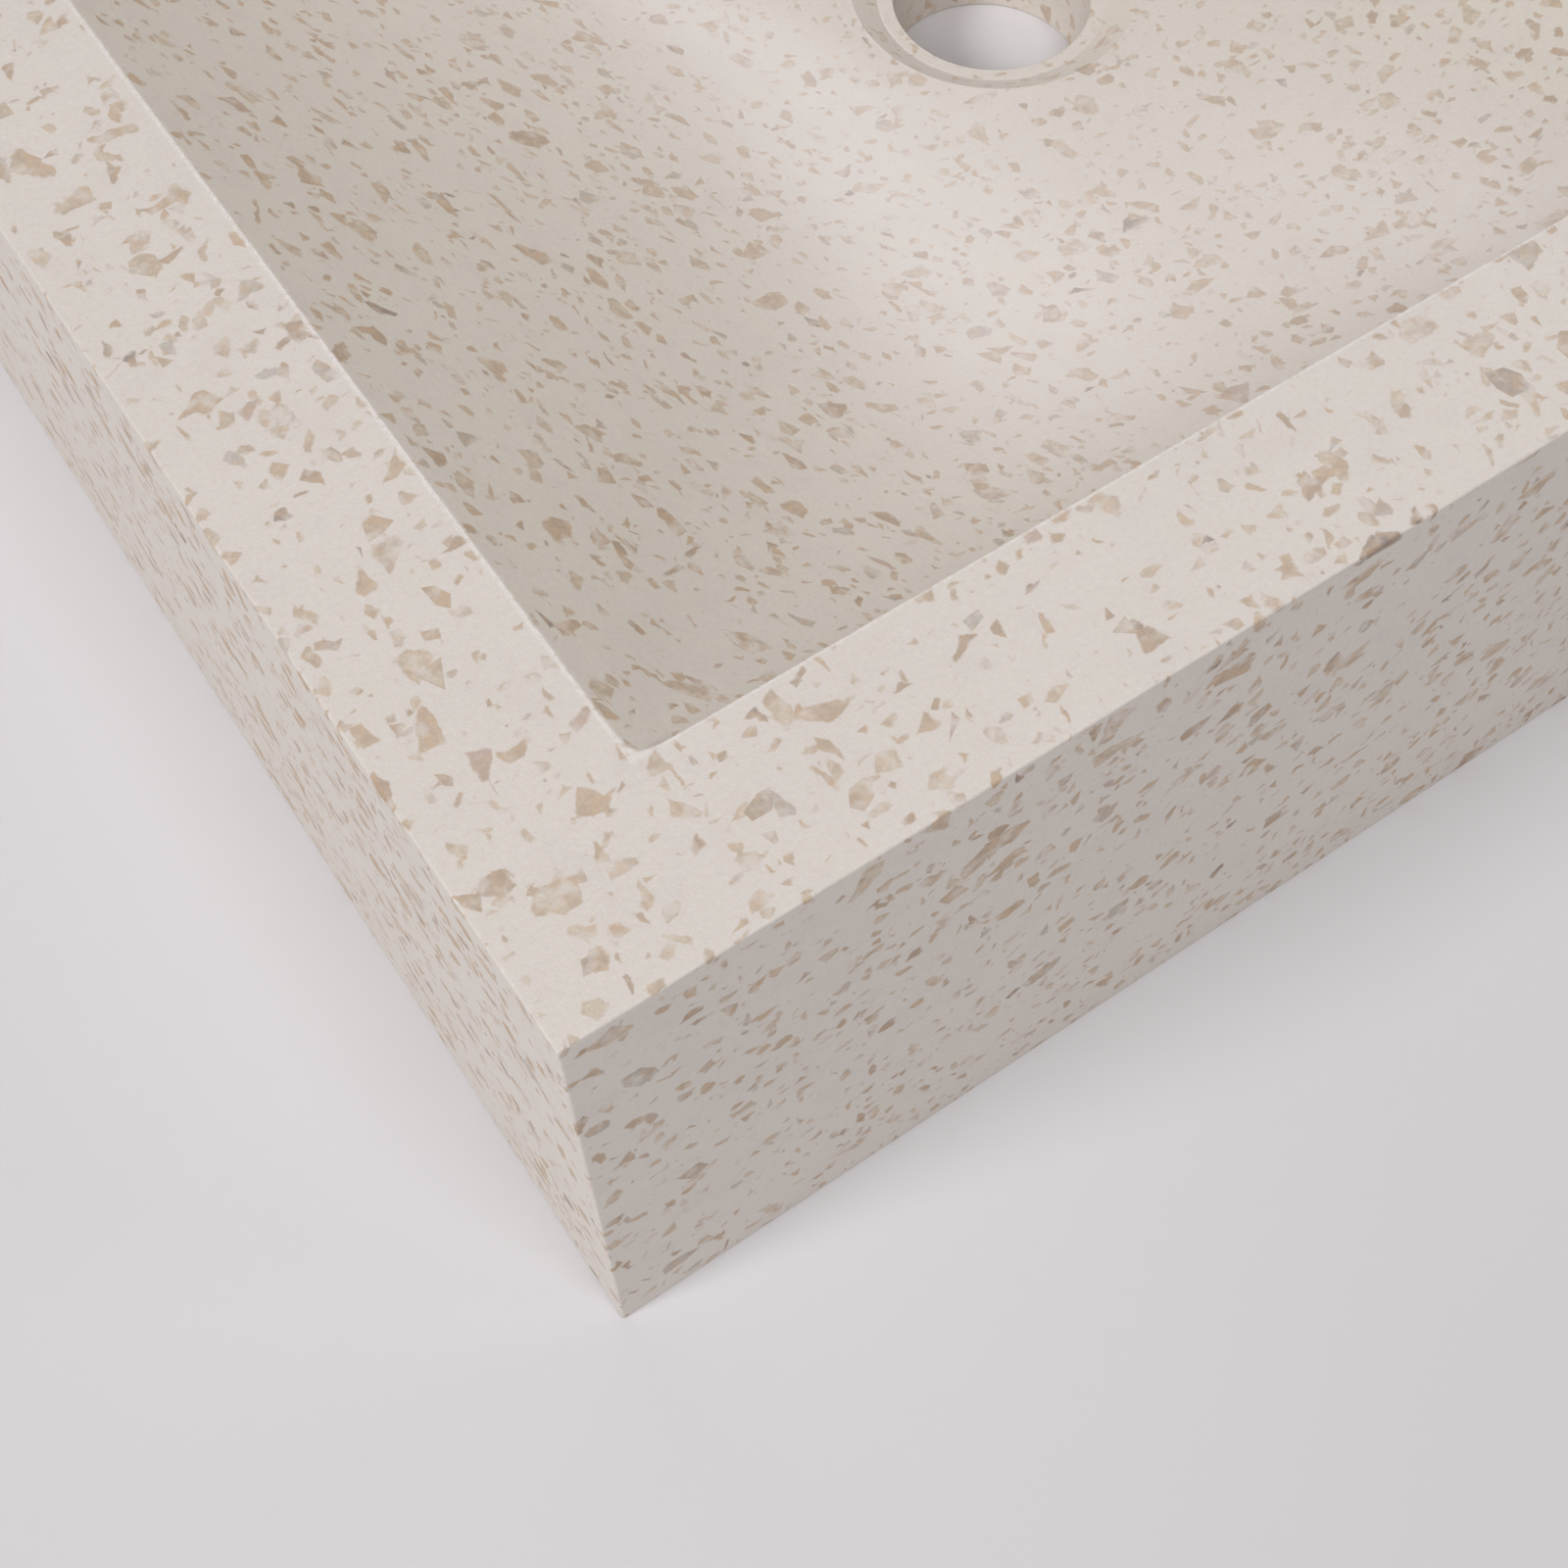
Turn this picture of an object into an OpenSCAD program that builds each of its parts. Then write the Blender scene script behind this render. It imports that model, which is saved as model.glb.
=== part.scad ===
// Rectangular terrazzo countertop basin, open at the drain.
// The frame stands at the middle of the underside: +X to the right along the front, +Y to the back, +Z up.
// A binder casting holds the marble chips that its ground faces cut open, and the steel wires cast inside it.

/* [Basin] */
// Length along the front
basin_l = 450; // [420:5:520]
// Depth from front to back
basin_w = 400; // [370:5:440]
// Height above the counter
basin_h = 120; // [112:1:150]
// Flat width of the rim
rim_w = 30; // [27:1:38]
// Chamfer that eases every outer arris
arris = 0.5; // [0.4:0.1:2]

/* [Bowl] */
// Radius of the bowl's corners at the rim
corner_r = 3; // [2:0.5:10]
// Thickness of the floor under the flange of the waste
floor_t = 22; // [21:0.5:28]
// Form of the sloping ends, 1 is a straight ramp and less is more dished
end_form = 0.58; // [0.48:0.02:0.9]
// Uprightness of the front and back walls, more is steeper
wall_form = 5; // [3:0.5:8]
// How far down the corners stay square, less is softer
corner_fade = 0.7; // [0.5:0.05:1.2]

/* [Drain] */
// Diameter of the hole for the waste
drain_d = 44; // [40:0.5:46]
// Diameter of the flat seat round the hole
seat_d = 51; // [49:0.5:56]
// Diameter of the recess where it meets the bowl
recess_d = 64; // [60:0.5:74]
// Depth of the recess, from the bowl to the seat
recess_t = 4; // [2.5:0.5:6]
// Radius of the recess's rounded lip and of its rounded foot
recess_round = 1.6; // [0.8:0.1:2]

/* [Chips] */
// Width of the smallest chip
chip_min = 3; // [2:0.5:4]
// Width of the largest chip
chip_max = 8.5; // [6:0.5:9.5]
// Depth of a chip under the ground face
chip_t = 3; // [2:0.25:4]
// Least binder between two chips
chip_gap = 1.5; // [1:0.25:3]
// Binder left between a chip and an arris
chip_margin = 2.5; // [2:0.25:4]
// Distance between chips along the rim
rim_pitch = 14; // [12:1:30]
// Distance between chips on the outer sides
side_pitch = 32; // [20:1:60]
// Number of the chips' arrangement
chip_seed = 11; // [1:1:99]

/* [Reinforcement] */
// Diameter of the steel wires
wire_d = 4; // [3:0.5:4.5]
// Binder outside the outermost wires
wire_cover = 11; // [9:0.5:12]
// Binder under the floor's mesh
mesh_cover = 8; // [6:0.5:9]
// Binder between two wires that cross
wire_gap = 0.5; // [0.3:0.1:1]
// Bend radius of the hoops, at the middle of the wire
hoop_bend_r = 15; // [10:1:25]
// Distance between upright stays
stay_pitch = 90; // [60:5:120]
// Distance between the wires of the floor's mesh
mesh_pitch = 65; // [50:5:90]
// Binder between the recess and the mesh's first wires
mesh_clear = 10; // [6:1:20]

/* [Hidden] */

bowl_l = basin_l - 2 * rim_w;
bowl_w = basin_w - 2 * rim_w;
// The bowl's lowest ring lies just inside the recess, which cuts its lip out of the dish.
lip_overlap = 1.5;
bowl_low_r = recess_d / 2 - lip_overlap;
bowl_low_z = floor_t + recess_t;
bowl_deep = basin_h - bowl_low_z;
// Cutting tools run this far past the faces they open.
overrun = 2;

BINDER = [0.87, 0.85, 0.82];
STEEL = [0.62, 0.64, 0.66];
STONES = [
    [0.82, 0.77, 0.69], [0.76, 0.66, 0.55], [0.58, 0.48, 0.40], [0.66, 0.64, 0.61], [0.76, 0.63, 0.58],
    [0.36, 0.32, 0.30]
];
// Share of the chips up to and with each stone, in the order of STONES.
STONE_SHARES = [0.28, 0.54, 0.68, 0.86, 0.96, 1];

// The bowl is a stack of rings. A ring's level h runs from 0 at the drain to 1 at the rim.
bowl_rings = 18;
quadrant_steps = 24;
ring_crowding = 1.8;
// A super-ellipse with this exponent has corners that leave as much as corner_r does.
corner_loss = 1 - sqrt(0.5);
rim_squareness = ln(0.5) / ln(1 - corner_loss * corner_r / (bowl_l / 2));

function ring_level(i) = pow(i / bowl_rings, ring_crowding);
function half_length(h) = bowl_low_r + (bowl_l / 2 - bowl_low_r) * pow(h, end_form);
function half_width(h) = bowl_low_r + (bowl_w / 2 - bowl_low_r) * (1 - pow(1 - h, wall_form));
function squareness(h) =
    let (corner = pow(h, corner_fade)) 1 / ((1 - corner) / 2 + corner / rim_squareness);
// Distance from the drain's axis to a ring, in the direction of an angle.
function ring_radius(h, angle) =
    let (
        n = squareness(h),
        u = abs(cos(angle)) / half_length(h),
        v = abs(sin(angle)) / half_width(h),
        most = max(u, v)
    )
    1 / (most * pow(pow(u / most, n) + pow(v / most, n), 1 / n));
function ring(h, z) =
    [for (angle = RING_ANGLES) let (r = ring_radius(h, angle)) [r * cos(angle), r * sin(angle), z]];

// Directions of the rings' points: they crowd towards the rim's corners.
function quadrant_angle(k) =
    let (half = quadrant_steps / 2, near = 1 - abs(k - half) / half)
    k <= half
        ? atan2(bowl_w * (1 - pow(1 - near, 2)), bowl_l)
        : atan2(bowl_w, bowl_l * (1 - pow(1 - near, 2)));
RING_ANGLES = [
    for (quadrant = [0:3], k = [0:quadrant_steps - 1])
        floor(quadrant / 2) * 180
            + (quadrant % 2 == 0 ? quadrant_angle(k) : 180 - quadrant_angle(quadrant_steps - k))
];

// Tool that cuts the bowl, from the drain recess up to past the rim.
module bowl_tool() {
    around = len(RING_ANGLES);
    rings = [
        for (i = [0:bowl_rings]) ring(ring_level(i), bowl_low_z + bowl_deep * ring_level(i)),
        ring(1, basin_h + overrun)
    ];
    skin = [
        for (i = [0:len(rings) - 2], k = [0:around - 1])
            let (a = i * around + k, b = i * around + (k + 1) % around)
            each [[a, a + around, b], [b, a + around, b + around]]
    ];
    last = (len(rings) - 1) * around;
    low_middle = last + around;
    high_middle = low_middle + 1;
    caps = [
        for (k = [0:around - 1])
            let (next = (k + 1) % around) each [[low_middle, k, next], [high_middle, last + next, last + k]]
    ];
    points = [for (r = rings) each r, [0, 0, bowl_low_z], [0, 0, basin_h + overrun]];
    polyhedron(points = points, faces = concat(skin, caps), convexity = 6);
}

// Arc of a turned profile about a centre, from one angle to another.
function arc(centre, r, from, to, steps = 4) =
    [for (k = [0:steps]) let (a = from + (to - from) * k / steps) centre + r * [cos(a), sin(a)]];

// Tool that turns the drain recess: a flat seat, a rounded foot, a slope and a rounded lip.
module recess_tool() {
    run = (recess_d - seat_d) / 2;
    slope = atan2(recess_t, run);
    tangent = recess_round * tan(slope / 2);
    foot = arc([seat_d / 2 - tangent, floor_t + recess_round], recess_round, -90, slope - 90);
    lip = arc([recess_d / 2 + tangent, bowl_low_z - recess_round], recess_round, slope + 90, 90);
    profile = concat(
        [[0, floor_t]],
        foot,
        lip,
        [[recess_d / 2 + tangent, bowl_low_z + overrun], [0, bowl_low_z + overrun]]
    );
    rotate_extrude($fn = 96) polygon(profile);
}

// Prism along Z of a rectangle with chamfered corners.
module chamfered_prism(size, cut, length) {
    x = size[0] / 2;
    y = size[1] / 2;
    linear_extrude(height = length, center = true)
        polygon([
            [cut - x, -y], [x - cut, -y], [x, cut - y], [x, y - cut],
            [x - cut, y], [cut - x, y], [-x, y - cut], [-x, cut - y]
        ]);
}

module eased_block() {
    translate([0, 0, basin_h / 2])
        intersection() {
            chamfered_prism([basin_l, basin_w], arris, basin_h);
            rotate([90, 0, 0]) chamfered_prism([basin_l, basin_h], arris, basin_w);
            rotate([0, 90, 0]) chamfered_prism([basin_h, basin_w], arris, basin_l);
        }
}

// A ground face that shows chips: its middle, its turn, its length, its height and the chips' pitch.
RIM_SIDES = [
    for (s = [-1, 1]) [[0, s * (basin_w - rim_w) / 2, basin_h], [0, 0, 0], basin_l, rim_w, rim_pitch],
    for (s = [-1, 1]) [[s * (basin_l - rim_w) / 2, 0, basin_h], [0, 0, 90], bowl_w, rim_w, rim_pitch]
];
OUTER_SIDES = [
    for (s = [0, 1])
        [[0, (2 * s - 1) * basin_w / 2, basin_h / 2], [90, 0, 180 * s], basin_l, basin_h, side_pitch],
    for (s = [-1, 1])
        [[s * basin_l / 2, 0, basin_h / 2], [90, 0, 90 * s], basin_w, basin_h, side_pitch]
];
FACES = concat(RIM_SIDES, OUTER_SIDES);

// Cells across a face, each holding one chip, and the size of one cell.
function cell_count(span, pitch) = max(1, floor((span - 2 * chip_margin) / max(pitch, chip_max + chip_gap)));
function cell_size(span, pitch) = (span - 2 * chip_margin) / cell_count(span, pitch);
// How far a chip may lie from the middle of its cell.
function cell_play(span, pitch) = (cell_size(span, pitch) - chip_max - chip_gap) / 2;
function cell_middle(span, pitch, k) = (k - (cell_count(span, pitch) - 1) / 2) * cell_size(span, pitch);

// A stone's broken outline, from a list of random numbers between 0 and 1.
OUTLINE_START = 6;
function chip_outline(size, luck) =
    let (sides = 3 + floor(3.6 * luck[0]), slim = 0.4 + 0.55 * luck[1])
    [
        for (k = [0:sides - 1])
            let (
                angle = (k + 0.55 * luck[OUTLINE_START + k]) * 360 / sides,
                r = size / 2 * (0.65 + 0.35 * luck[OUTLINE_START + sides + k])
            )
            [r * cos(angle), slim * r * sin(angle)]
    ];

// A chip: its face, its place on the face, its turn, its width, its stone and its random numbers.
function make_chip(face, i, j, luck) =
    let (stone = [for (s = [0:len(STONES) - 1]) if (luck[5] <= STONE_SHARES[s]) s][0])
    [
        face,
        [
            cell_middle(face[2], face[4], i) + (2 * luck[2] - 1) * cell_play(face[2], face[4]),
            cell_middle(face[3], face[4], j) + (2 * luck[3] - 1) * cell_play(face[3], face[4]),
            0
        ],
        360 * luck[1] * luck[5],
        chip_min + (chip_max - chip_min) * pow(luck[4], 1.2),
        stone,
        luck
    ];
CHIPS = [
    for (f = [0:len(FACES) - 1])
        let (face = FACES[f])
        for (i = [0:cell_count(face[2], face[4]) - 1], j = [0:cell_count(face[3], face[4]) - 1])
            make_chip(face, i, j, rands(0, 1, 20, chip_seed * 100000 + f * 10000 + i * 100 + j))
];

// One chip, or with a rise the pocket that it lies in, which opens past the face.
module chip(c, rise = 0) {
    translate(c[0][0])
        rotate(c[0][1])
            translate(c[1])
                rotate([0, 0, c[2]])
                    translate([0, 0, -chip_t])
                        linear_extrude(height = chip_t + rise)
                            polygon(chip_outline(c[3], c[5]));
}

module chips_of(stone) {
    color(STONES[stone])
        for (c = CHIPS)
            if (c[4] == stone) chip(c);
}

// Levels of the wires, each layer resting a gap above the one below.
wire_step = wire_d + wire_gap;
long_mesh_z = mesh_cover + wire_d / 2;
cross_mesh_z = long_mesh_z + wire_step;
foot_hoop_z = cross_mesh_z + wire_step;
rim_hoop_z = basin_h - wire_cover - wire_d / 2;
// Distance from the outer faces to the middle of the hoops and of the stays inside them.
hoop_inset = wire_cover + wire_d / 2;
stay_inset = hoop_inset + wire_step;

// Straight wire between two ends that differ along one direction, given by its turn.
module wire(middle, turn, length) {
    translate(middle) rotate(turn) cylinder(d = wire_d, h = length, center = true, $fn = 32);
}

// Closed hoop of one bent wire: straight sides and quarter bends.
module hoop(z) {
    x = basin_l / 2 - hoop_inset;
    y = basin_w / 2 - hoop_inset;
    color(STEEL)
        union() {
            for (s = [-1, 1]) {
                wire([0, s * y, z], [0, 90, 0], 2 * (x - hoop_bend_r));
                wire([s * x, 0, z], [90, 0, 0], 2 * (y - hoop_bend_r));
            }
            for (corner = [[1, 1, 0], [-1, 1, 90], [-1, -1, 180], [1, -1, 270]])
                translate([corner[0] * (x - hoop_bend_r), corner[1] * (y - hoop_bend_r), z])
                    rotate([0, 0, corner[2]])
                        rotate_extrude(angle = 90, $fn = 96)
                            translate([hoop_bend_r, 0]) circle(d = wire_d, $fn = 32);
        }
}

// Places along a side of the upright stays, even about its middle.
function stay_places(span) =
    let (count = floor((span - 2 * stay_inset - 2 * hoop_bend_r) / stay_pitch) + 1)
    [for (k = [0:count - 1]) (k - (count - 1) / 2) * stay_pitch];
// Places of the mesh's wires across a span, clear of the drain and as far out as the hoops.
function mesh_places(span) =
    let (first = recess_d / 2 + mesh_clear + wire_d / 2)
    [for (s = [-1, 1], d = [first:mesh_pitch:span / 2 - stay_inset - wire_step]) s * d];

module stays() {
    low = cross_mesh_z + wire_d / 2 + wire_gap;
    high = basin_h - wire_cover;
    middle = (low + high) / 2;
    color(STEEL)
        for (s = [-1, 1]) {
            for (u = stay_places(basin_l))
                wire([u, s * (basin_w / 2 - stay_inset), middle], [0, 0, 0], high - low);
            for (u = stay_places(basin_w))
                wire([s * (basin_l / 2 - stay_inset), u, middle], [0, 0, 0], high - low);
        }
}

module basin_body() {
    color(BINDER)
        difference() {
            eased_block();
            bowl_tool();
            recess_tool();
            translate([0, 0, -overrun]) cylinder(d = drain_d, h = floor_t + 2 * overrun, $fn = 96);
            for (c = CHIPS) chip(c, overrun);
            rim_hoop();
            foot_hoop();
            wall_stays();
            long_mesh_wires();
            cross_mesh_wires();
        }
}
module cream_chips() { chips_of(0); }
module tan_chips() { chips_of(1); }
module brown_chips() { chips_of(2); }
module grey_chips() { chips_of(3); }
module rose_chips() { chips_of(4); }
module dark_chips() { chips_of(5); }
module rim_hoop() { hoop(rim_hoop_z); }
module foot_hoop() { hoop(foot_hoop_z); }
module wall_stays() { stays(); }
module long_mesh_wires() {
    color(STEEL)
        for (y = mesh_places(basin_w)) wire([0, y, long_mesh_z], [0, 90, 0], basin_l - 2 * wire_cover);
}
module cross_mesh_wires() {
    color(STEEL)
        for (x = mesh_places(basin_l)) wire([x, 0, cross_mesh_z], [90, 0, 0], basin_w - 2 * wire_cover);
}

basin_body();
cream_chips();
tan_chips();
brown_chips();
grey_chips();
rose_chips();
dark_chips();
rim_hoop();
foot_hoop();
wall_stays();
long_mesh_wires();
cross_mesh_wires();
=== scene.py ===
"""Terrazzo countertop basin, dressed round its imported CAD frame. Everything is in metres."""

import math

import bpy
import numpy as np
from mathutils import Matrix, Vector


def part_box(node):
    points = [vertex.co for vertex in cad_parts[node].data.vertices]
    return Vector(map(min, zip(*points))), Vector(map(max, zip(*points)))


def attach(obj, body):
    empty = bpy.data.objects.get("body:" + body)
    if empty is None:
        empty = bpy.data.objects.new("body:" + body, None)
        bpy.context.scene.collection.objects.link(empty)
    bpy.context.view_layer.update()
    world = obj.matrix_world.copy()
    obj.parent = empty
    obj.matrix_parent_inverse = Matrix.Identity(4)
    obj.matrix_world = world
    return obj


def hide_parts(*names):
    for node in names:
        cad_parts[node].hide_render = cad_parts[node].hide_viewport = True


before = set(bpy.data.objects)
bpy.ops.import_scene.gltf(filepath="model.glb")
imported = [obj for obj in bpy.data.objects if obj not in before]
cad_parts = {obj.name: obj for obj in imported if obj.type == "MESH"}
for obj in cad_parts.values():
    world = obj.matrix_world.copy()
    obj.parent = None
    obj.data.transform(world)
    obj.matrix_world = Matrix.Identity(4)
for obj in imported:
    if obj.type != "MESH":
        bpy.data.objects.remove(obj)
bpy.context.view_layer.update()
MM = 0.001

# Sizes of the basin, as in its CAD model.
HALF_LENGTH, HALF_WIDTH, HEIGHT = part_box("basin_body")[1]
RIM = 30 * MM
CORNER_R = 3 * MM
SEAT_Z = 22 * MM
RECESS_T = 4 * MM
HOLE_R = 22 * MM
SEAT_R = 25.5 * MM
RECESS_R = 32 * MM
RECESS_ROUND = 1.6 * MM
END_FORM = 0.58
WALL_FORM = 5
CORNER_FADE = 0.7
BOWL_LOW_R = RECESS_R - 1.5 * MM

# Sizes that only the look has. The solid chips stand proud of the skin by the relief.
ARRIS_R = 0.45 * MM
INNER_ARRIS = 0.4 * MM
HOLE_ARRIS = 0.5 * MM
CHIP_RELIEF = 0.02 * MM
LEAST_ROUND = 0.02 * MM
BOWL_GAP = 2.5 * MM

# How the skin's mesh is divided: a support ring holds each flat face flat beside its rounding.
SUPPORT = 0.5 * MM
HOLE_SUPPORT = 0.3 * MM
QUADRANT_STEPS = 96
CROWDING = 2.4
BOWL_RINGS = 90
BOWL_CROWDING = 1.6
SIDE_RINGS = 8
ROUND_STEPS = 7
HOLE_ROUND_STEPS = 5
HOLE_SHARES = (0.06, 0.3, 0.6, 0.9)
UNDER_SHARES = (0.25, 0.5, 0.75, 1)
SEARCH_STEPS = 50


# The basin's surface, as rings round the drain.

def quadrant_angles():
    """Directions of one quadrant's points, crowded towards the corner of the bowl's rim."""
    x, y = HALF_LENGTH - RIM, HALF_WIDTH - RIM
    near = side_places()
    to_corner = np.arctan2(y * near, x)
    past_corner = np.arctan2(y, x * near[:0:-1])
    return np.concatenate([to_corner, [math.atan2(y, x)], past_corner])


def side_places():
    """Places along a half side, from its middle at 0 to its corner at 1, leaving out the corner."""
    steps = np.arange(QUADRANT_STEPS // 2) / (QUADRANT_STEPS // 2)
    return 1 - (1 - steps) ** CROWDING


def all_round(quadrant):
    """Four quadrants' directions from one, by symmetry."""
    second = math.pi - quadrant[:0:-1]
    half = np.concatenate([quadrant, [math.pi / 2], second])
    return np.concatenate([half, half + math.pi])


ANGLES = all_round(quadrant_angles())
COS, SIN = np.cos(ANGLES), np.sin(ANGLES)


def circle(r, z):
    return np.stack([r * COS, r * SIN, np.full_like(COS, z)], axis=1)


def rectangle(inset, z, round_r):
    """Outline of the block, drawn in by an inset, with a point for each direction."""
    x, y = HALF_LENGTH - inset, HALF_WIDTH - inset
    near = side_places()
    quarter = [(x, y * t) for t in near] + [(x, y)] + [(x * t, y) for t in near[:0:-1]]
    half = quarter + [(0.0, y)] + [(-a, b) for a, b in quarter[:0:-1]]
    points = np.array(half + [(-a, -b) for a, b in half])
    round_r = max(round_r, LEAST_ROUND)
    centre = np.array([x - round_r, y - round_r])
    away = np.abs(points) - centre
    in_corner = (away > 0).all(axis=1)
    reach = np.linalg.norm(away, axis=1, keepdims=True)
    rounded = np.sign(points) * (centre + round_r * away / np.maximum(reach, 1e-9))
    points = np.where(in_corner[:, None], rounded, points)
    return np.column_stack([points, np.full(len(points), z)])


def bowl_radius(h, cos=COS, sin=SIN):
    """Distance from the drain's axis to the bowl, at level h from 0 at the drain to 1 at the rim."""
    half_l, half_w = HALF_LENGTH - RIM, HALF_WIDTH - RIM
    a = BOWL_LOW_R + (half_l - BOWL_LOW_R) * h ** END_FORM
    b = BOWL_LOW_R + (half_w - BOWL_LOW_R) * (1 - (1 - h) ** WALL_FORM)
    squarest = math.log(0.5) / math.log(1 - (1 - math.sqrt(0.5)) * CORNER_R / half_l)
    corner = h ** CORNER_FADE
    n = 1 / ((1 - corner) / 2 + corner / squarest)
    u, v = np.abs(cos) / a, np.abs(sin) / b
    most = np.maximum(u, v)
    return 1 / (most * ((u / most) ** n + (v / most) ** n) ** (1 / n))


def level_at(radius):
    """The level at which the bowl is a given distance from the drain's axis, for each direction."""
    low, high = np.zeros_like(COS), np.ones_like(COS)
    for _ in range(SEARCH_STEPS):
        middle = (low + high) / 2
        inside = bowl_radius(middle) < radius
        low = np.where(inside, middle, low)
        high = np.where(inside, high, middle)
    return low


def bowl_ring(h):
    r = bowl_radius(h)
    z = SEAT_Z + RECESS_T + (HEIGHT - SEAT_Z - RECESS_T) * h
    return np.stack([r * COS, r * SIN, z], axis=1)


def arc(centre_r, centre_z, r, start, end, steps):
    """Circles that follow an arc of the drain's turned profile, angles in degrees."""
    turns = np.radians(np.linspace(start, end, steps))
    return [circle(centre_r + r * math.cos(t), centre_z + r * math.sin(t)) for t in turns]


def drain_rings():
    """From the underside up the hole, over its seat and up the recess."""
    slope = math.degrees(math.atan2(RECESS_T, RECESS_R - SEAT_R))
    tangent = RECESS_ROUND * math.tan(math.radians(slope / 2))
    hole = HOLE_R + HOLE_ARRIS
    top = SEAT_Z + RECESS_T
    foot_r, lip_r = SEAT_R - tangent, RECESS_R + tangent
    rings = arc(hole, HOLE_ARRIS, HOLE_ARRIS, 270, 180, HOLE_ROUND_STEPS)
    rings += [circle(HOLE_R, SEAT_Z * share) for share in HOLE_SHARES]
    rings += arc(hole, SEAT_Z - HOLE_ARRIS, HOLE_ARRIS, 180, 90, HOLE_ROUND_STEPS)
    rings += [circle(r, SEAT_Z) for r in (hole + HOLE_SUPPORT, foot_r - HOLE_SUPPORT)]
    rings += arc(foot_r, SEAT_Z + RECESS_ROUND, RECESS_ROUND, -90, slope - 90, ROUND_STEPS)
    rings += arc(lip_r, top - RECESS_ROUND, RECESS_ROUND, slope + 90, 90, ROUND_STEPS)
    return rings


def bowl_rings():
    """From just outside the recess up to just below the rim."""
    start = level_at(RECESS_R + BOWL_GAP)
    steps = (np.arange(BOWL_RINGS) / BOWL_RINGS) ** BOWL_CROWDING
    return [bowl_ring(start + (1 - start) * t) for t in steps]


def arris_rings(below, edge):
    """Rounds the bowl's upper edge, from a ring on its wall to the flat rim."""
    outward = edge[:, :2] - np.roll(edge[:, :2], 1, axis=0)
    outward += np.roll(edge[:, :2], -1, axis=0) - edge[:, :2]
    outward = np.column_stack([outward[:, 1], -outward[:, 0], np.zeros(len(edge))])
    outward /= np.linalg.norm(outward, axis=1, keepdims=True)
    down = below - edge
    down /= np.linalg.norm(down, axis=1, keepdims=True)
    first, last = edge + INNER_ARRIS * down, edge + INNER_ARRIS * outward
    steps = np.linspace(0, 1, ROUND_STEPS)
    curve = [(1 - t) ** 2 * first + 2 * t * (1 - t) * edge + t ** 2 * last for t in steps]
    return [first + SUPPORT * down] + curve + [last + SUPPORT * outward]


def arris_ring(turn, z):
    """One ring of an outer arris, from upright at a turn of 0 to flat at 90 degrees."""
    draw_in = ARRIS_R * (1 - math.cos(turn))
    return rectangle(CHIP_RELIEF + draw_in, z, ARRIS_R - draw_in)


def outer_rings():
    """From the flat rim over the outer arris, down the sides and under."""
    top = HEIGHT - CHIP_RELIEF
    turns = np.radians(np.linspace(0, 90, ROUND_STEPS))
    upper = [arris_ring(turn, top - ARRIS_R * (1 - math.sin(turn))) for turn in turns[::-1]]
    lower = [arris_ring(turn, ARRIS_R * (1 - math.sin(turn))) for turn in turns]
    levels = np.linspace(top - ARRIS_R - SUPPORT, ARRIS_R + SUPPORT, SIDE_RINGS)
    sides = [rectangle(CHIP_RELIEF, z, ARRIS_R) for z in levels]
    flat = CHIP_RELIEF + ARRIS_R + SUPPORT
    return [rectangle(flat, top, 0)] + upper + sides + lower + [rectangle(flat, 0, 0)]


def basin_rings():
    bowl = bowl_rings()
    edge = bowl_ring(np.ones_like(COS))
    rings = drain_rings() + bowl[:-1] + arris_rings(bowl[-1], edge) + outer_rings()
    under = circle(HOLE_R + HOLE_ARRIS + SUPPORT, 0)
    return rings + [rings[-1] + (under - rings[-1]) * share for share in UNDER_SHARES]


def make_basin(material):
    """One closed skin: the last ring, under the basin, joins the first, at the foot of the hole."""
    rings = basin_rings()
    around, count = len(COS), len(rings)
    corner = np.arange(around)
    after = (corner + 1) % around
    faces = []
    for i in range(count):
        this, other = i * around, (i + 1) % count * around
        faces.append(np.stack([this + corner, this + after, other + after, other + corner], axis=1))
    mesh = bpy.data.meshes.new("terrazzo_casting")
    mesh.from_pydata(np.concatenate(rings).tolist(), [], np.concatenate(faces).tolist())
    mesh.polygons.foreach_set("use_smooth", [True] * len(mesh.polygons))
    mesh.materials.append(material)
    mesh.update()
    basin = bpy.data.objects.new("terrazzo_casting", mesh)
    bpy.context.collection.objects.link(basin)
    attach(basin, "root")
    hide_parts("basin_body")


# Materials.

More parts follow.
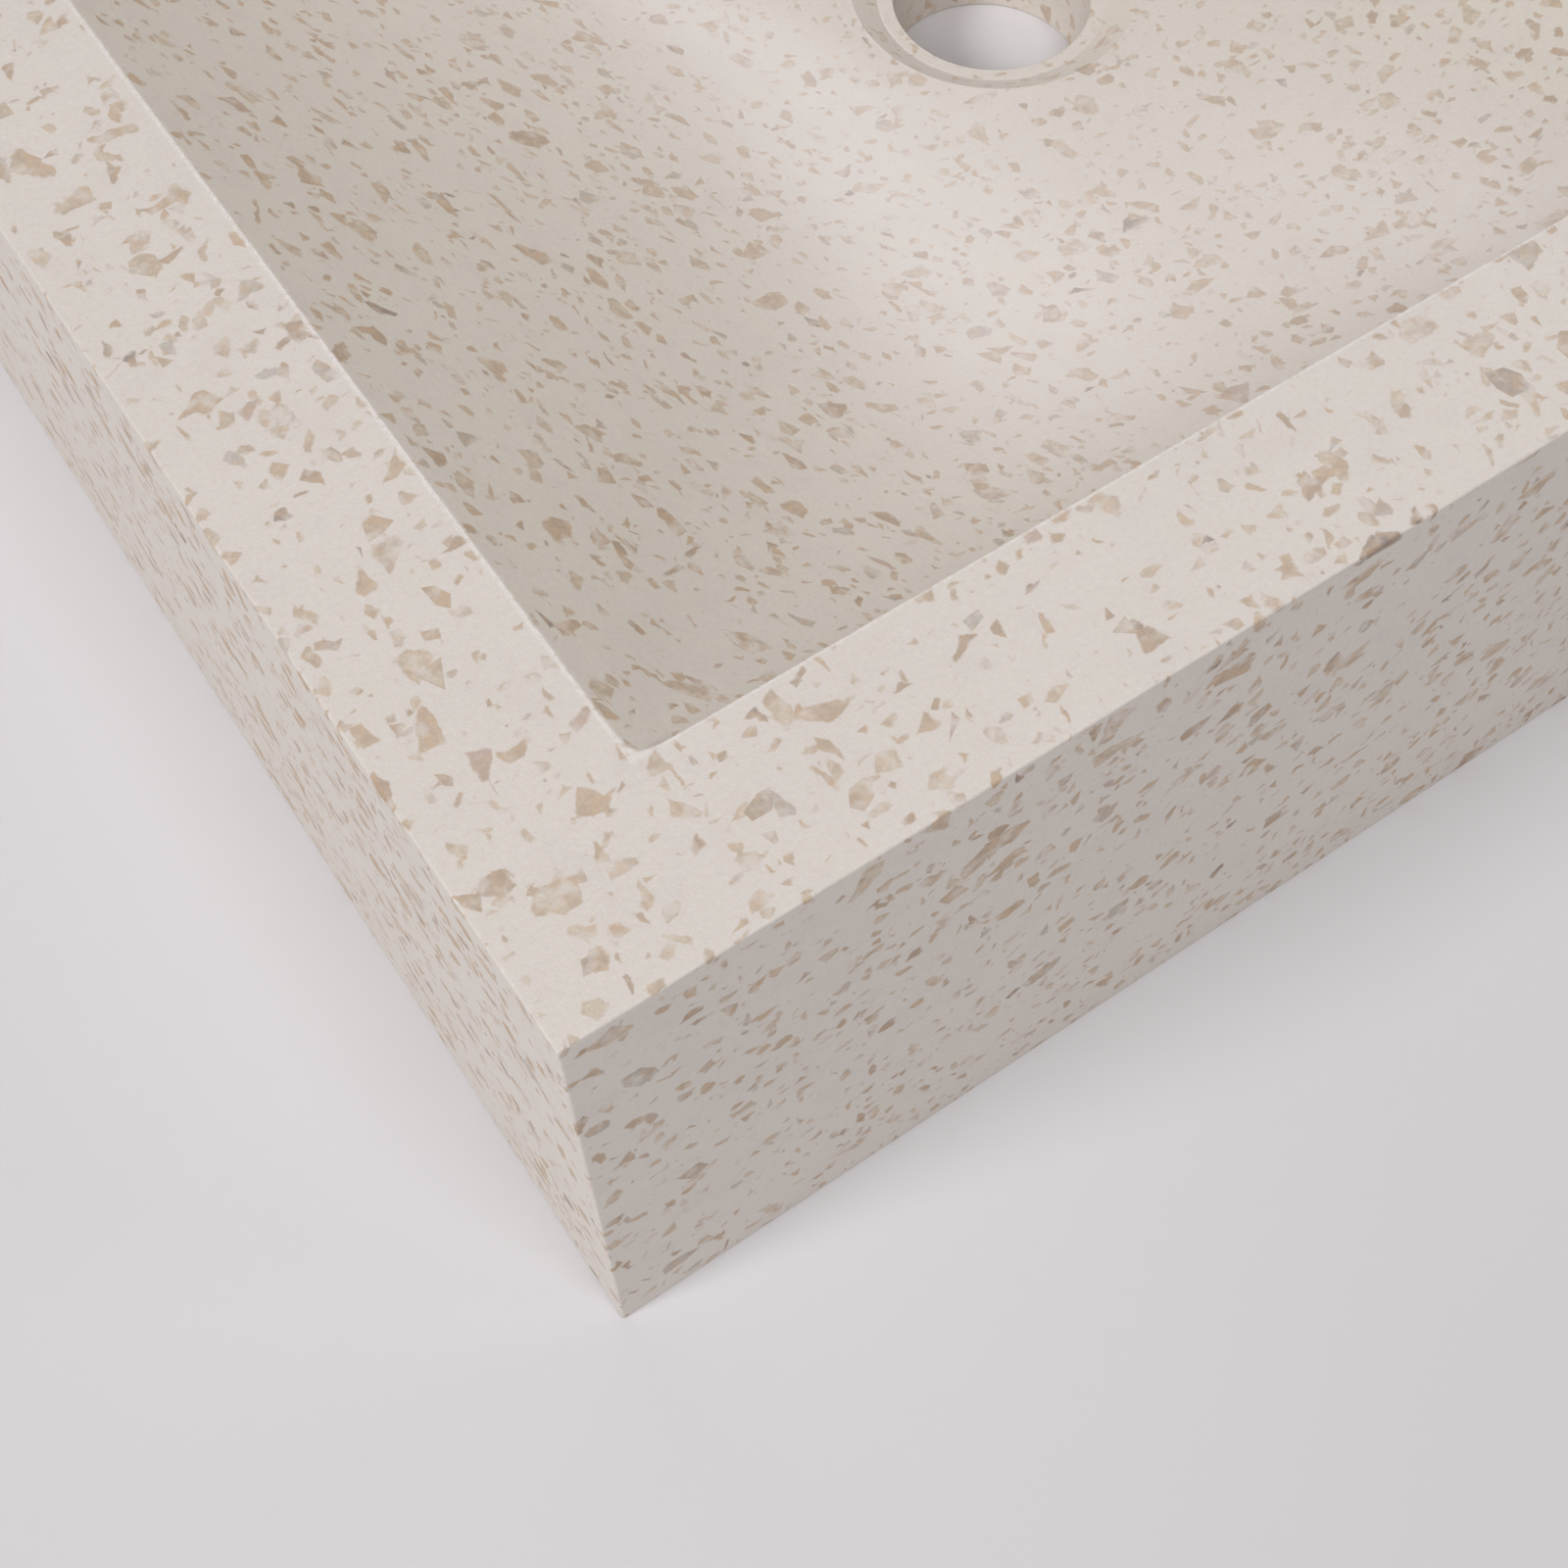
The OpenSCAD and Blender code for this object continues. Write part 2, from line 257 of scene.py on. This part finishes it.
class Nodes:
    """Adds nodes to a material, each as one call that returns the node's output."""

    def __init__(self, material):
        material.use_nodes = True
        self.tree = material.node_tree
        self.shader = self.tree.nodes["Principled BSDF"]

    def add(self, kind, inputs=None, output=0, **settings):
        node = self.tree.nodes.new(kind)
        for name, value in settings.items():
            setattr(node, name, value)
        for name, value in (inputs or {}).items():
            self.feed(node.inputs[name], value)
        return node.outputs[output]

    def feed(self, socket, value):
        if isinstance(value, bpy.types.NodeSocket):
            self.tree.links.new(value, socket)
        else:
            socket.default_value = value

    def math(self, operation, a, b=0.0):
        return self.add("ShaderNodeMath", {0: a, 1: b}, operation=operation)

    def vector(self, operation, a, b, output=0):
        return self.add("ShaderNodeVectorMath", {0: a, 1: b}, output, operation=operation)

    def split(self, kind, value):
        """The three parts of a place, for the kind XYZ, or of a colour, for the kind Color."""
        node = self.tree.nodes.new("ShaderNodeSeparate" + kind)
        self.feed(node.inputs[0], value)
        return node.outputs

    def grey(self, value):
        return self.add("ShaderNodeCombineColor", {0: value, 1: value, 2: value})

    def spread(self, value, low, high, to_low=0.0, to_high=1.0):
        """Takes low..high to to_low..to_high, held at both ends."""
        inputs = {"Value": value, "From Min": low, "From Max": high, "To Min": to_low, "To Max": to_high}
        return self.add("ShaderNodeMapRange", inputs)

    def blend(self, factor, a, b, how="MIX"):
        node = self.tree.nodes.new("ShaderNodeMix")
        node.data_type, node.blend_type = "RGBA", how
        self.feed(node.inputs[0], factor)
        self.feed(node.inputs[6], a)
        self.feed(node.inputs[7], b)
        return node.outputs[2]

    def tint(self, colour, other, most, value, low, high):
        """Brings in up to a share of another colour, as a value rises from low to high."""
        return self.blend(self.spread(value, low, high, 0, most), colour, (*other, 1))

    def noise(self, place, size_mm, detail=2.0, output=0, roughness=0.5):
        inputs = {"Vector": place, "Scale": 1 / size_mm, "Detail": detail, "Roughness": roughness}
        return self.add("ShaderNodeTexNoise", inputs, output)

    def place_mm(self):
        """Where the surface is, in millimetres in the basin's frame."""
        return self.vector("MULTIPLY", self.add("ShaderNodeTexCoord", output="Object"), (1 / MM,) * 3)

    def steps(self, value, stops):
        """One of several colours, by where a value falls between the stops."""
        node = self.tree.nodes.new("ShaderNodeValToRGB")
        self.feed(node.inputs[0], value)
        node.color_ramp.interpolation = "CONSTANT"
        while len(node.color_ramp.elements) < len(stops):
            node.color_ramp.elements.new(1.0)
        for element, (position, colour) in zip(node.color_ramp.elements, stops):
            element.position = position
            element.color = (*colour, 1.0)
        return node.outputs[0]

    def bump(self, height, distance, strength, normal=None):
        inputs = {"Height": height, "Distance": distance, "Strength": strength}
        if normal is not None:
            inputs["Normal"] = normal
        return self.add("ShaderNodeBump", inputs)

    def finish(self, colour, roughness, normal):
        self.feed(self.shader.inputs["Base Color"], colour)
        self.feed(self.shader.inputs["Roughness"], roughness)
        self.feed(self.shader.inputs["Normal"], normal)


# Colours of the binder, its patches and the stones.
BINDER = (0.705, 0.65, 0.605)
CREAMY = (0.69, 0.645, 0.565)
ASHEN = (0.655, 0.595, 0.56)
# Painted highlight along the bowl's upper edge.
LIP_HIGHLIGHT_COLOUR = (0.80, 0.75, 0.715)
GHOST = (0.665, 0.595, 0.53)
CREAM = (0.60, 0.50, 0.395)
TAN = (0.54, 0.405, 0.285)
BROWN = (0.42, 0.30, 0.21)
AMBER = (0.565, 0.385, 0.245)
GREY = (0.49, 0.44, 0.385)
ROSE = (0.50, 0.375, 0.32)
DARK = (0.27, 0.205, 0.17)
# Painted warm bounce light inside the bowl, multiplied into its colour.
BOWL_PAINTED_WARM_LIGHT = (1.0, 0.997, 0.975)

# The small chips' stones: each takes the draws from its number up to the next one's.
STONES = [
    (0.0, GHOST),
    (0.20, CREAM),
    (0.48, TAN),
    (0.78, GREY),
    (0.85, BROWN),
    (0.95, ROSE),
    (0.98, DARK),
]

# The small chips' layers: size in millimetres, stretch and turn of the cells about each axis, the
# share of cells that hold a chip, and the gap from a chip to its cell's edge.
CHIP_LAYERS = [
    (7.8, (1.0, 1.4, 1.2), (0.4, 0.9, 0.3), 0.36, 0.16),
    (6.2, (1.35, 1.0, 1.6), (1.9, 0.5, 1.2), 0.46, 0.15),
    (4.9, (1.7, 1.2, 1.0), (0.8, 2.3, 0.6), 0.44, 0.14),
    (3.5, (1.0, 1.7, 1.3), (2.7, 1.4, 2.0), 0.30, 0.14),
    (2.0, (1.3, 1.0, 1.6), (1.1, 0.2, 2.9), 0.10, 0.18),
]
CHIP_GAP_SPREAD = 0.20
CHIP_EDGE_MM = 0.32
CHIP_RAGGED_MM = 1.1
BOWL_CHIPS_FINER = 0.98
SPECK_SPACING_MM = 7.0

# Sizes of the unevenness in the binder and the stones, in millimetres.
CLOUD_MM = 16
BLOTCH_MM = 8
DRIFT_MM = 2.6
EDGE_WAVE_MM = 2.0
SKIN_MM = 1.2
GRAIN_MM = 1.0
FINE_MM = 0.4

# How far the binder drops between its clouds, how much paler the rim's stones are, and the gloss.
CLOUD_SHADE = 0.975
RIM_FADE = 0.2
BINDER_ROUGHNESS = 0.58
CHIP_ROUGHNESS = 0.54
BOWL_SMOOTHER = 0.24

# Levels and reaches in millimetres that the masks compare with.
TOP_MM = HEIGHT / MM
RIM_FROM_MM = TOP_MM - 0.04
LIP_FROM_MM, LIP_FULL_MM = TOP_MM - 0.6, TOP_MM - 0.3
LIP_FADE_MM = (0.45, 0.75)
MOUTH_MM = [(half - RIM) / MM for half in (HALF_LENGTH, HALF_WIDTH)]
VEIL_FULL_MM, VEIL_GONE_MM = 30, 85


def bowl_mask(nodes, x_y_z):
    """One in the bowl and on its upper edge, nought on the rim and the outer faces."""
    mask = nodes.math("LESS_THAN", x_y_z[2], RIM_FROM_MM)
    for along, half in zip(x_y_z, MOUTH_MM):
        reach = nodes.math("ABSOLUTE", along)
        near = nodes.math("LESS_THAN", reach, half + INNER_ARRIS / MM)
        mask = nodes.math("MULTIPLY", mask, near)
    return mask


def rim_mask(nodes, x_y_z):
    """One on the flat rim, nought below it."""
    return nodes.math("GREATER_THAN", x_y_z[2], RIM_FROM_MM)


def lip_highlight_mask(nodes, x_y_z):
    """One along the bowl's upper edge, where a paler line is painted as a highlight, fading onto the rim.
    """
    mask = nodes.spread(x_y_z[2], LIP_FROM_MM, LIP_FULL_MM)
    beyond = [nodes.math("SUBTRACT", nodes.math("ABSOLUTE", a), h) for a, h in zip(x_y_z, MOUTH_MM)]
    past = nodes.math("MAXIMUM", *beyond)
    return nodes.math("MULTIPLY", mask, nodes.spread(past, *LIP_FADE_MM, 1, 0))


def chip_layer(nodes, place, size_mm, stretch, turn, share, gap):
    """Angular chips cut from Voronoi cells: how deep in a chip this is, and its draw of stone."""
    scale = [s / size_mm for s in stretch]
    turned = nodes.add("ShaderNodeMapping", {"Vector": place, "Rotation": turn, "Scale": scale})
    cell = {"Vector": turned, "Scale": 1.0, "Randomness": 1.0}
    edge = nodes.add("ShaderNodeTexVoronoi", cell, "Distance", feature="DISTANCE_TO_EDGE")
    draws = nodes.split("Color", nodes.add("ShaderNodeTexVoronoi", cell, "Color", feature="F1"))
    shrink = nodes.spread(draws[0], 0, 1, gap, gap + CHIP_GAP_SPREAD)
    present = nodes.math("LESS_THAN", draws[1], share)
    depth = nodes.math("MULTIPLY", nodes.math("SUBTRACT", edge, shrink), present)
    return depth, draws[2]


def stone_drift(nodes, place):
    """Three numbers that wander slowly over the stones."""
    return nodes.split("Color", nodes.noise(place, DRIFT_MM, 2, "Color"))


def within_stone(nodes, shade, drift):
    """Lets one chip drift in hue, and fade where it thins out under the binder."""
    shade = nodes.tint(shade, AMBER, 0.6, drift[0], 0.47, 0.62)
    shade = nodes.tint(shade, BROWN, 0.6, drift[1], 0.46, 0.62)
    return nodes.tint(shade, BINDER, 0.6, drift[2], 0.5, 0.68)


def binder_colour(nodes, place, fine, grain):
    """White cement, clouded and blotched, with a fine grit."""
    cloud = nodes.noise(place, CLOUD_MM, 2)
    deeper = [c * CLOUD_SHADE for c in BINDER] + [1]
    colour = nodes.tint(deeper, BINDER, 1, cloud, 0.3, 0.7)
    blotch = nodes.split("Color", nodes.noise(place, BLOTCH_MM, 3, "Color"))
    colour = nodes.tint(colour, CREAMY, 0.5, blotch[0], 0.5, 0.66)
    colour = nodes.tint(colour, ASHEN, 0.5, blotch[1], 0.52, 0.68)
    colour = nodes.tint(colour, CREAM, 0.15, fine, 0.35, 0.7)
    speckle = nodes.grey(nodes.spread(grain, 0.32, 0.68, 0.965, 1.04))
    return nodes.blend(1.0, colour, speckle, "MULTIPLY")


def lay_chips(nodes, colour, place, inside, fine, grain):
    """Lays the small chips over the binder, the finest first: the colour, and where chips are."""
    wave = nodes.noise(place, EDGE_WAVE_MM, 2, "Color")
    ragged = nodes.vector("SUBTRACT", wave, (0.5,) * 3)
    broken = nodes.vector("ADD", place, nodes.vector("MULTIPLY", ragged, (CHIP_RAGGED_MM,) * 3))
    finer = nodes.spread(inside, 0, 1, 1, BOWL_CHIPS_FINER)
    broken = nodes.add("ShaderNodeVectorMath", {0: broken, 3: finer}, operation="SCALE")
    grit = nodes.math("ADD", grain, nodes.math("MULTIPLY", fine, 0.8))
    mottle = nodes.grey(nodes.spread(grit, 0.68, 1.12, 0.87, 1.10))
    drift = stone_drift(nodes, place)
    chips = 0.0
    for layer in reversed(CHIP_LAYERS):
        depth, stone = chip_layer(nodes, broken, *layer)
        here = nodes.spread(depth, 0, CHIP_EDGE_MM / layer[0])
        shade = nodes.blend(1.0, nodes.steps(stone, STONES), mottle, "MULTIPLY")
        shade = nodes.blend(nodes.spread(depth, 0.0, 0.12, 0.22, 0), shade, (*BROWN, 1))
        shade = within_stone(nodes, shade, drift)
        colour = nodes.blend(nodes.math("MULTIPLY", here, 0.95), colour, shade)
        chips = nodes.math("MAXIMUM", chips, here)
    return colour, chips


def specks_veil_and_painted_light(nodes, colour, place, x_y_z, inside, grain):
    """Dark specks, the veil of the bowl, painted warm bounce light in the bowl, a painted highlight along
    its upper edge, and the paler rim.
    """
    cell = {"Vector": place, "Scale": 1 / SPECK_SPACING_MM}
    speck = nodes.add("ShaderNodeTexVoronoi", cell, "Distance", feature="F1")
    colour = nodes.blend(nodes.spread(speck, 0.035, 0.055, 0.7, 0), colour, (*BROWN, 1))
    low = nodes.spread(x_y_z[2], VEIL_FULL_MM, VEIL_GONE_MM, 0.28, 0.04)
    colour = nodes.blend(nodes.math("MULTIPLY", inside, low), colour, (*BINDER, 1))
    # Painted warm bounce light: the bowl's colour is warmed.
    colour = nodes.blend(inside, colour, (*BOWL_PAINTED_WARM_LIGHT, 1), "MULTIPLY")
    # Painted highlight: a paler line, broken by the grain, along the bowl's upper edge.
    lip_highlight = nodes.math("MULTIPLY", lip_highlight_mask(nodes, x_y_z), nodes.spread(grain, 0.35, 0.6, 0.3, 0.9))
    colour = nodes.blend(lip_highlight, colour, (*LIP_HIGHLIGHT_COLOUR, 1))
    return fade_on_rim(nodes, colour, x_y_z)


def fade_on_rim(nodes, colour, x_y_z):
    """Pales the stones a little on the rim, as in the photograph."""
    factor = nodes.math("MULTIPLY", rim_mask(nodes, x_y_z), RIM_FADE)
    return nodes.blend(factor, colour, (*BINDER, 1))


def make_terrazzo():
    """The casting's skin: binder with the small chips, rough on the rim and satin in the bowl."""
    material = bpy.data.materials.new("terrazzo")
    nodes = Nodes(material)
    place = nodes.place_mm()
    x_y_z = nodes.split("XYZ", place)
    inside = bowl_mask(nodes, x_y_z)
    fine = nodes.noise(place, FINE_MM, 1)
    grain = nodes.noise(place, GRAIN_MM, 3, roughness=0.65)
    colour = binder_colour(nodes, place, fine, grain)
    colour, chips = lay_chips(nodes, colour, place, inside, fine, grain)
    colour = specks_veil_and_painted_light(nodes, colour, place, x_y_z, inside, grain)
    chippy = nodes.math("ADD", fine, chips)
    roughness = nodes.spread(chippy, 0.3, 1.6, BINDER_ROUGHNESS, CHIP_ROUGHNESS)
    roughness = nodes.math("SUBTRACT", roughness, nodes.math("MULTIPLY", inside, BOWL_SMOOTHER))
    on_rim = nodes.math("MULTIPLY", rim_mask(nodes, x_y_z), 0.4)
    ground = nodes.math("ADD", nodes.spread(inside, 0, 1, 0.6, 0.25), on_rim)
    skin = nodes.bump(nodes.noise(place, SKIN_MM, 3), 0.10 * MM, ground)
    nodes.finish(colour, roughness, nodes.bump(fine, 0.08 * MM, ground, skin))
    return material


def make_stone(name, colour, veined):
    """A marble for the larger chips: mottled, with paler patches and, in some stones, veins."""
    material = bpy.data.materials.new(name)
    nodes = Nodes(material)
    place = nodes.place_mm()
    broad = nodes.noise(place, 6, 3)
    grain = nodes.noise(place, 0.9, 4, roughness=0.65)
    dark = [0.74 * c for c in colour] + [1]
    pale = [c + (g - c) * 0.45 for c, g in zip(colour, GHOST)] + [1]
    mottled = nodes.blend(nodes.spread(grain, 0.32, 0.68), dark, pale)
    mottled = nodes.blend(nodes.spread(broad, 0.4, 0.7, 0.15, 0.6), mottled, [*colour, 1])
    vein = nodes.math("ABSOLUTE", nodes.math("SUBTRACT", nodes.noise(place, DRIFT_MM, 2), 0.5))
    mottled = nodes.blend(nodes.spread(vein, 0.0, 0.02, veined, 0), mottled, (*GHOST, 1))
    mottled = within_stone(nodes, mottled, stone_drift(nodes, place))
    mottled = fade_on_rim(nodes, mottled, nodes.split("XYZ", place))
    roughness = nodes.spread(grain, 0.3, 0.7, 0.42, 0.54)
    nodes.finish(mottled, roughness, nodes.bump(grain, 0.02 * MM, 0.5))
    return material


def make_wire_steel():
    """Zinc-coated wire with its spangle, which only a cut through the basin would show."""
    material = bpy.data.materials.new("galvanised_wire")
    nodes = Nodes(material)
    place = nodes.place_mm()
    spangle = nodes.add("ShaderNodeTexVoronoi", {"Vector": place, "Scale": 0.6}, "Color", feature="F1")
    grey = nodes.spread(spangle, 0, 1, 0.42, 0.60)
    bluer = nodes.math("MULTIPLY", grey, 1.03)
    colour = nodes.add("ShaderNodeCombineColor", {0: grey, 1: grey, 2: bluer})
    scale = nodes.noise(place, 0.5, 3)
    nodes.shader.inputs["Metallic"].default_value = 1.0
    roughness = nodes.spread(scale, 0.3, 0.7, 0.38, 0.55)
    nodes.finish(colour, roughness, nodes.bump(scale, 0.03 * MM, 0.5))
    return material


# The solid chips' nodes: each one's stone, and how strongly it is veined.
CHIP_STONES = {
    "cream_chips": (CREAM, 0.2),
    "tan_chips": (TAN, 0.3),
    "brown_chips": ((0.45, 0.345, 0.265), 0.2),
    "grey_chips": ((0.53, 0.485, 0.43), 0.4),
    "rose_chips": (ROSE, 0.4),
    "dark_chips": ((0.37, 0.29, 0.24), 0.15),
}
WIRES = ["rim_hoop", "foot_hoop", "wall_stays", "long_mesh_wires", "cross_mesh_wires"]


def dress(node, material):
    """Gives a CAD node its material."""
    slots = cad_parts[node].data.materials
    slots.clear()
    slots.append(material)


# Floor, light and camera.

BACKDROP = (0.74, 0.72, 0.725, 1)
FLOOR_HALF = 4.0
FLOOR_TONES = (0.71, 0.69, 0.71, 1), (0.725, 0.705, 0.725, 1)
# Painted shade on the floor, deeper towards the right.
FLOOR_PAINTED_SHADE = (0.655, 0.637, 0.655, 1)
PAINTED_SHADE_TOWARDS = (0.83, -0.55, 0)
PAINTED_SHADE_MM = (-150, 60)
FADE_OUT_MM = (500, 1700)


def floor_material():
    """A pale matt floor with painted shade that makes it a little deeper to the right, which the camera
    sees fade out far away.
    """
    material = bpy.data.materials.new("floor")
    nodes = Nodes(material)
    place = nodes.place_mm()
    cloud = nodes.noise(place, 300, 2)
    # Painted shade: the floor's colour is deepened towards the right.
    painted_shade_across = nodes.vector("DOT_PRODUCT", place, PAINTED_SHADE_TOWARDS, "Value")
    colour = nodes.blend(nodes.spread(painted_shade_across, *PAINTED_SHADE_MM), nodes.blend(cloud, *FLOOR_TONES), FLOOR_PAINTED_SHADE)
    grain = nodes.bump(nodes.noise(place, 0.8), 0.02 * MM, 0.3)
    nodes.finish(colour, nodes.spread(cloud, 0, 1, 0.78, 0.82), grain)
    away = nodes.add("ShaderNodeVectorMath", {0: place}, "Value", operation="LENGTH")
    camera_ray = nodes.add("ShaderNodeLightPath", output="Is Camera Ray")
    far = nodes.math("MULTIPLY", nodes.spread(away, *FADE_OUT_MM), camera_ray)
    background = nodes.add("ShaderNodeEmission", {"Color": BACKDROP})
    seen = nodes.add("ShaderNodeMixShader", {0: far, 1: nodes.shader.outputs[0], 2: background})
    nodes.feed(nodes.tree.nodes["Material Output"].inputs["Surface"], seen)
    return material


def make_floor():
    corners = [(-1, -1), (1, -1), (1, 1), (-1, 1)]
    mesh = bpy.data.meshes.new("floor")
    mesh.from_pydata([(x * FLOOR_HALF, y * FLOOR_HALF, 0) for x, y in corners], [], [(0, 1, 2, 3)])
    mesh.materials.append(floor_material())
    floor = bpy.data.objects.new("floor", mesh)
    bpy.context.collection.objects.link(floor)


# Soft lamps: azimuth from +X towards +Y and elevation in degrees, width in metres, power in
# watts, and colour. They stand at one distance from the drain.
LAMP_DISTANCE = 4.4
WHITE = (1, 1, 1)
COOL = (0.91, 0.90, 1)
WARM = (1, 0.965, 0.885)
LAMPS = {
    "left": (180, 42, 1.2, 89, WHITE),
    "front_left": (225, 42, 1.2, 30, WHITE),
    "front_high": (270, 66, 1.2, 43, WHITE),
    "front_right_low": (315, 18, 1.2, 16, WHITE),
    "right_low": (0, 18, 1.2, 33, WARM),
    "back_right": (41, 26, 1.6, 33, COOL),
}
FILL = 0.18
FILL_COLOUR = (1.0, 0.985, 0.975, 1)


def make_lamps():
    """Discs that face the drain, and that the camera doesn't see."""
    for name, (azimuth, elevation, size, power, colour) in LAMPS.items():
        lamp = bpy.data.lights.new(name, "AREA")
        lamp.shape, lamp.size, lamp.energy, lamp.color = "DISK", size, power, colour
        holder = bpy.data.objects.new(name, lamp)
        a, e = math.radians(azimuth), math.radians(elevation)
        away = Vector((math.cos(a) * math.cos(e), math.sin(a) * math.cos(e), math.sin(e)))
        holder.location = away * LAMP_DISTANCE
        holder.rotation_euler = away.to_track_quat("Z", "Y").to_euler()
        holder.visible_camera = False
        bpy.context.collection.objects.link(holder)


def make_world():
    """An even fill, and a pale background where the camera sees past the floor."""
    world = bpy.data.worlds.new("studio")
    bpy.context.scene.world = world
    world.use_nodes = True
    tree = world.node_tree
    fill = tree.nodes["Background"]
    fill.inputs["Color"].default_value = FILL_COLOUR
    fill.inputs["Strength"].default_value = FILL
    seen = tree.nodes.new("ShaderNodeBackground")
    seen.inputs["Color"].default_value = BACKDROP
    ray = tree.nodes.new("ShaderNodeLightPath")
    either = tree.nodes.new("ShaderNodeMixShader")
    tree.links.new(ray.outputs["Is Camera Ray"], either.inputs[0])
    tree.links.new(fill.outputs[0], either.inputs[1])
    tree.links.new(seen.outputs[0], either.inputs[2])
    tree.links.new(either.outputs[0], tree.nodes["World Output"].inputs["Surface"])


# The photograph's camera, solved from the basin's edges: place in metres and turns in degrees.
CAMERA_PLACE = (-0.2593, -0.3029, 0.3793)
CAMERA_YAW, CAMERA_PITCH, CAMERA_ROLL = 33.59, 61.25, 0.67
FOCAL_PIXELS, IMAGE_PIXELS = 2300, 1600
SENSOR_MM = 36


def make_camera():
    """Turned right from +Y by the yaw, down by the pitch and then by the roll."""
    yaw, pitch, roll = (math.radians(d) for d in (CAMERA_YAW, CAMERA_PITCH, CAMERA_ROLL))
    level = Vector((math.sin(yaw), math.cos(yaw), 0))
    ahead = level * math.cos(pitch) - Vector((0, 0, 1)) * math.sin(pitch)
    right = ahead.cross(Vector((0, 0, 1))).normalized()
    down = ahead.cross(right)
    image_right = math.cos(roll) * right + math.sin(roll) * down
    image_down = math.cos(roll) * down - math.sin(roll) * right
    data = bpy.data.cameras.new("camera")
    data.sensor_width = SENSOR_MM
    data.lens = SENSOR_MM * FOCAL_PIXELS / IMAGE_PIXELS
    data.clip_start, data.clip_end = 0.01, 50
    camera = bpy.data.objects.new("camera", data)
    turn = Matrix((image_right, -image_down, -ahead)).transposed().to_4x4()
    camera.matrix_world = Matrix.Translation(CAMERA_PLACE) @ turn
    bpy.context.collection.objects.link(camera)
    bpy.context.scene.camera = camera


make_camera()
make_floor()
make_lamps()
make_world()
make_basin(make_terrazzo())
for chip_node, (stone_colour, stone_veins) in CHIP_STONES.items():
    dress(chip_node, make_stone(chip_node + "_marble", stone_colour, stone_veins))
steel = make_wire_steel()
for wire_node in WIRES:
    dress(wire_node, steel)
bpy.context.scene.view_settings.view_transform = "Standard"
